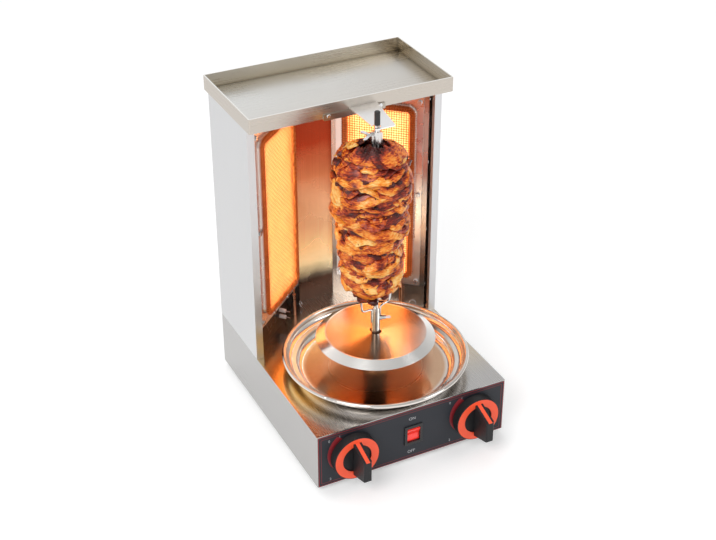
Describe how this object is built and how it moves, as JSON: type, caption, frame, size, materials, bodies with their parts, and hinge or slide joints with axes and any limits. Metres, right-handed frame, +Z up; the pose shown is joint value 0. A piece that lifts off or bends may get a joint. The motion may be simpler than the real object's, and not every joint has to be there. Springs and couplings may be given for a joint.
{
  "type": "vertical skewer grill",
  "caption": "Table-top vertical skewer grill in brushed steel with two upright glowing burners, a turning skewer of meat, a round drip pan, a top tray and a dark control panel.",
  "frame": {"origin": "middle of the overall width and depth, on the surface that the feet stand on", "axes": "+X to the grill's right as seen from the front, +Y to the back, +Z up"},
  "size_m": [0.31, 0.447, 0.504],
  "materials": {
    "brushed_steel": "brushed",
    "reflector_steel": "brushed, heat tinted",
    "polished_steel": "polished",
    "fastener_steel": "bright",
    "heated_steel": "heat coloured, matte",
    "glowing_ceramic": "glowing, matte",
    "white_ceramic": "glazed",
    "panel_film": "satin",
    "black_plastic": "satin",
    "orange_plastic": "satin",
    "red_plastic": "gloss",
    "rubber": "matte",
    "brass": "machined",
    "gas_pipe": "satin",
    "copper": "drawn",
    "motor_steel": "plain",
    "meat": "roasted, moist",
    "wire_insulation": "satin"
  },
  "bodies": {
    "chassis": {"base_back": "brushed_steel", "base_housing": "brushed_steel", "bottom_plate": "brushed_steel", "burner_screws": "fastener_steel", "cable_gland": "black_plastic", "control_panel": "brushed_steel", "electrode_ceramics": "white_ceramic", "electrode_wires": "heated_steel", "foot_screws": "fastener_steel", "gas_inlet": "brass", "gas_manifold": "gas_pipe", "gas_valves": "brass", "gear_motor": "motor_steel", "injectors": "brass", "left_burner_frame": "heated_steel", "left_burner_housing": "heated_steel", "left_burner_mesh": "heated_steel", "left_burner_tiles": "glowing_ceramic", "left_reflector": "reflector_steel", "left_wall": "brushed_steel", "machine_screws": "fastener_steel", "mains_wires": "wire_insulation", "middle_reflector": "reflector_steel", "motor_bracket": "brushed_steel", "panel_overlay": "panel_film", "rear_cover": "brushed_steel", "right_burner_frame": "heated_steel", "right_burner_housing": "heated_steel", "right_burner_mesh": "heated_steel", "right_burner_tiles": "glowing_ceramic", "right_reflector": "reflector_steel", "right_wall": "brushed_steel", "rivets": "fastener_steel", "rubber_feet": "rubber", "shaft_bush": "brass", "skewer_arm": "brushed_steel", "supply_tubes": "copper", "switch_housing": "black_plastic", "terminal_block": "black_plastic", "thermocouples": "copper", "top_tray": "brushed_steel"},
    "drive": {"motor_shaft": "polished_steel", "drive_hub": "black_plastic"},
    "turntable": {"turntable_disc": "polished_steel"},
    "skewer": {"skewer_rod": "polished_steel", "upper_fork": "polished_steel", "lower_fork": "polished_steel", "meat_stack": "meat"},
    "upper_wing": {"upper_wing_screw": "polished_steel"},
    "lower_wing": {"lower_wing_screw": "polished_steel"},
    "pan": {"drip_pan": "polished_steel"},
    "left_push": {"left_spring_cup": "polished_steel"},
    "left_turn": {"left_valve_stem": "polished_steel", "left_knob": "black_plastic", "left_knob_ring": "orange_plastic"},
    "right_push": {"right_spring_cup": "polished_steel"},
    "right_turn": {"right_valve_stem": "polished_steel", "right_knob": "black_plastic", "right_knob_ring": "orange_plastic"},
    "rocker": {"switch_rocker": "red_plastic"}
  },
  "joints": [
    {"name": "drive_spin", "type": "hinge", "parent": "chassis", "child": "drive", "pos_m": [0, -0.0556, 0.1], "axis": [0, 0, 1], "continuous": true},
    {"name": "plate_lift", "type": "slide", "parent": "drive", "child": "turntable", "axis": [0, 0, 1], "range_m": [0, 0.0024]},
    {"name": "skewer_lift", "type": "slide", "parent": "turntable", "child": "skewer", "axis": [0, 0, 1], "range_m": [0, 0.0032]},
    {"name": "upper_wing_turn", "type": "hinge", "parent": "skewer", "child": "upper_wing", "pos_m": [0, -0.0556, 0.4702], "axis": [-0.9781, 0.2079, 0], "range_deg": [0, 180]},
    {"name": "lower_wing_turn", "type": "hinge", "parent": "skewer", "child": "lower_wing", "pos_m": [0, -0.0556, 0.1792], "axis": [0.9272, -0.3746, 0], "range_deg": [0, 180]},
    {"name": "pan_lift", "type": "slide", "parent": "chassis", "child": "pan", "axis": [0, 0, 1], "range_m": [0, 0.02]},
    {"name": "left_knob_push", "type": "slide", "parent": "chassis", "child": "left_push", "axis": [0, 1, 0], "range_m": [0, 0.003], "stiffness_N_per_m": 300, "springref_m": -0.004},
    {"name": "left_knob_turn", "type": "hinge", "parent": "left_push", "child": "left_turn", "pos_m": [-0.097, -0.19, 0.054], "axis": [0, -1, 0], "range_deg": [0, 140]},
    {"name": "right_knob_push", "type": "slide", "parent": "chassis", "child": "right_push", "axis": [0, 1, 0], "range_m": [0, 0.003], "stiffness_N_per_m": 300, "springref_m": -0.004},
    {"name": "right_knob_turn", "type": "hinge", "parent": "right_push", "child": "right_turn", "pos_m": [0.097, -0.19, 0.054], "axis": [0, -1, 0], "range_deg": [0, 140]},
    {"name": "rocker_tilt", "type": "hinge", "parent": "chassis", "child": "rocker", "pos_m": [0, -0.1665, 0.0505], "axis": [-1, 0, 0], "range_deg": [0, 20]}
  ]
}
